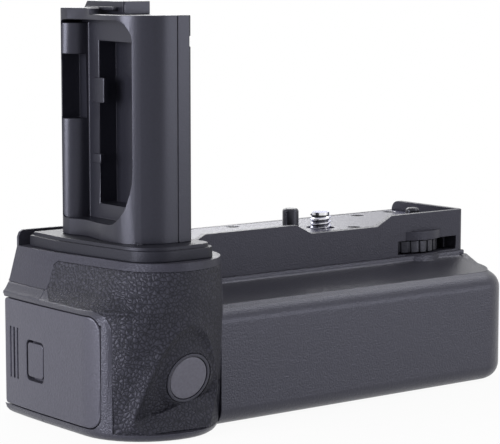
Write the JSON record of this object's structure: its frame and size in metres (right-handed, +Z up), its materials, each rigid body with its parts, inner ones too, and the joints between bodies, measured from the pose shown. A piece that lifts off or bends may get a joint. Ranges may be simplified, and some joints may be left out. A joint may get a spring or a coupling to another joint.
{
  "type": "camera battery grip",
  "caption": "Battery grip for a camera: a seat with a gear-driven mounting screw, a battery tower, a rubber hand grip with a shutter button and a slide-out battery tray.",
  "frame": {"origin": "middle of the footprint, on the resting face", "axes": "+X along the body away from the hand grip, -Y towards the lens side, +Z up"},
  "size_m": [0.1484, 0.06, 0.115],
  "materials": {
    "case": "fine textured charcoal",
    "tower": "fine textured charcoal",
    "plate": "satin grey paint",
    "dark": "black, satin",
    "rubber": "leather-grained black rubber",
    "button": "satin",
    "black_metal": "black oxide",
    "steel": "bright",
    "screw": "polished",
    "brass": "gold flashed",
    "copper": "amber film",
    "board": "solder mask",
    "gear": "natural acetal",
    "tray": "black, satin"
  },
  "bodies": {
    "body": {"front_case": "case", "rear_case": "case", "top_case": "case", "seat_plate": "plate", "tower_collar": "case", "tower_shell": "tower", "tower_cover": "tower", "contact_block": "dark", "tower_contacts": "brass", "grip_rubber": "rubber", "button_ring": "dark", "shutter_spring": "steel", "shutter_switch": "board", "locating_pins": "black_metal", "plate_screws": "black_metal", "case_screws": "steel", "tower_screws": "steel", "tripod_socket": "steel", "chamber_frame": "tray", "contact_holder": "dark", "chamber_contacts": "brass", "latch_keeper": "steel", "circuit_board": "board", "ribbon_cable": "copper", "gear_bracket": "steel", "wheel_axle": "steel", "idler_axle": "steel"},
    "tray": {"battery_tray": "tray", "tray_door": "case", "door_screws": "steel", "tray_contacts": "brass", "release_spring": "steel"},
    "release": {"release_button": "button"},
    "latch": {"door_latch": "steel"},
    "wheel": {"lock_wheel": "dark"},
    "idler": {"idler_gear": "gear"},
    "screw": {"mounting_screw": "screw", "screw_gear": "gear", "screw_washer": "steel"},
    "shutter": {"shutter_button": "button"}
  },
  "joints": [
    {"name": "tray_slide", "type": "slide", "parent": "body", "child": "tray", "axis": [-1, 0, 0], "range_m": [0, 0.118]},
    {"name": "release_press", "type": "slide", "parent": "tray", "child": "release", "axis": [1, 0, 0], "range_m": [0, 0.001], "stiffness_N_per_m": 600, "deforming": ["release_spring"]},
    {"name": "latch_drop", "type": "slide", "parent": "tray", "child": "latch", "axis": [0, 0, -1], "range_m": [0, 0.001]},
    {"name": "wheel_spin", "type": "hinge", "parent": "body", "child": "wheel", "pos_m": [0.0565, 0.0083, 0.0398], "axis": [0, 0, 1], "continuous": true},
    {"name": "idler_spin", "type": "hinge", "parent": "body", "child": "idler", "pos_m": [0.04045, 0.01527, 0.043], "axis": [0, 0, 1], "continuous": true},
    {"name": "screw_spin", "type": "hinge", "parent": "body", "child": "screw", "pos_m": [0.0244, 0.0083, 0.043], "axis": [0, 0, 1], "continuous": true},
    {"name": "shutter_press", "type": "slide", "parent": "body", "child": "shutter", "axis": [-0.017, 0.9742, 0.225], "range_m": [0, 0.001], "stiffness_N_per_m": 600, "deforming": ["shutter_spring"]}
  ],
  "couplings": [
    {"joint": "latch_drop", "follows": "release_press", "ratio": 1},
    {"joint": "idler_spin", "follows": "wheel_spin", "ratio": -0.66667},
    {"joint": "screw_spin", "follows": "wheel_spin", "ratio": 1}
  ]
}
